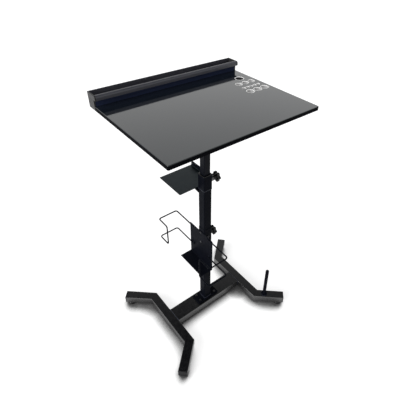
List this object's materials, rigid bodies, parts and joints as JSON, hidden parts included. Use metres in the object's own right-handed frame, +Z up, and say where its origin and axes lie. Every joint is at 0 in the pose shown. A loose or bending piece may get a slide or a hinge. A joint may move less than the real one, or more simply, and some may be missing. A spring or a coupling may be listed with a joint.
{
  "type": "tattoo workstation",
  "caption": "Height-adjustable work table on a square telescopic column with splayed feet, a rear bottle trough, ink cap holes, a small shelf and a sliding glove box holder.",
  "frame": {"origin": "on the floor under the column's axis, the middle of the foot frame's footprint", "axes": "+X right along the top's long front edge, +Y to the rear with the bottle trough, +Z up"},
  "size_m": [0.5446, 0.4436, 0.9456],
  "materials": {
    "powder_coat_black": "semi-gloss black powder coat",
    "top_gloss_black": "polished black board",
    "trough_satin_black": "satin black coat",
    "black_plastic": "moulded matt black",
    "blackened_steel": "black oxide",
    "zinc_steel": "bright zinc plate"
  },
  "bodies": {
    "base": {"foot_left": "powder_coat_black", "foot_right": "powder_coat_black", "crossbeam": "powder_coat_black", "column_plate": "powder_coat_black", "outer_column": "powder_coat_black", "guide_bush": "black_plastic", "collar": "powder_coat_black", "lock_boss": "zinc_steel", "shelf": "powder_coat_black", "shelf_web": "powder_coat_black", "roll_post": "powder_coat_black", "plug_left_front": "black_plastic", "plug_left_rear": "black_plastic", "plug_right_front": "black_plastic", "plug_right_rear": "black_plastic", "glide_left_front": "black_plastic", "glide_left_rear": "black_plastic", "glide_right_front": "black_plastic", "glide_right_rear": "black_plastic", "column_bolt_1": "blackened_steel", "column_bolt_2": "blackened_steel", "column_bolt_3": "blackened_steel", "column_bolt_4": "blackened_steel"},
    "lift": {"inner_column": "powder_coat_black", "guide_shoe": "black_plastic", "seat_plate": "powder_coat_black", "work_top": "top_gloss_black", "bottle_trough": "trough_satin_black", "trough_end_left": "trough_satin_black", "trough_end_right": "trough_satin_black", "seat_screw_1": "blackened_steel", "seat_screw_2": "blackened_steel", "seat_screw_3": "blackened_steel", "seat_screw_4": "blackened_steel", "trough_screw_1": "blackened_steel", "trough_screw_2": "blackened_steel", "trough_screw_3": "blackened_steel"},
    "height_lock": {"height_knob": "black_plastic", "height_knob_stud": "zinc_steel"},
    "glove_holder": {"holder_sleeve": "powder_coat_black", "holder_nut": "blackened_steel", "holder_plate": "powder_coat_black", "wire_loop_rear": "powder_coat_black", "wire_loop_front": "powder_coat_black", "holder_rivet_1": "blackened_steel", "holder_rivet_2": "blackened_steel", "holder_screw": "blackened_steel"},
    "holder_lock": {"holder_knob": "black_plastic", "holder_knob_stud": "zinc_steel"}
  },
  "joints": [
    {"name": "height_slide", "type": "slide", "parent": "base", "child": "lift", "axis": [0, 0, 1], "range_m": [-0.19, 0.1]},
    {"name": "height_knob_turn", "type": "hinge", "parent": "base", "child": "height_lock", "pos_m": [0.04, 0, 0.642], "axis": [1, 0, 0], "range_deg": [0, 360]},
    {"name": "holder_slide", "type": "slide", "parent": "base", "child": "glove_holder", "axis": [0, 0, 1], "range_m": [-0.15, 0.12]},
    {"name": "holder_knob_turn", "type": "hinge", "parent": "glove_holder", "child": "holder_lock", "pos_m": [0.03, 0, 0.403], "axis": [1, 0, 0], "range_deg": [0, 360]}
  ]
}
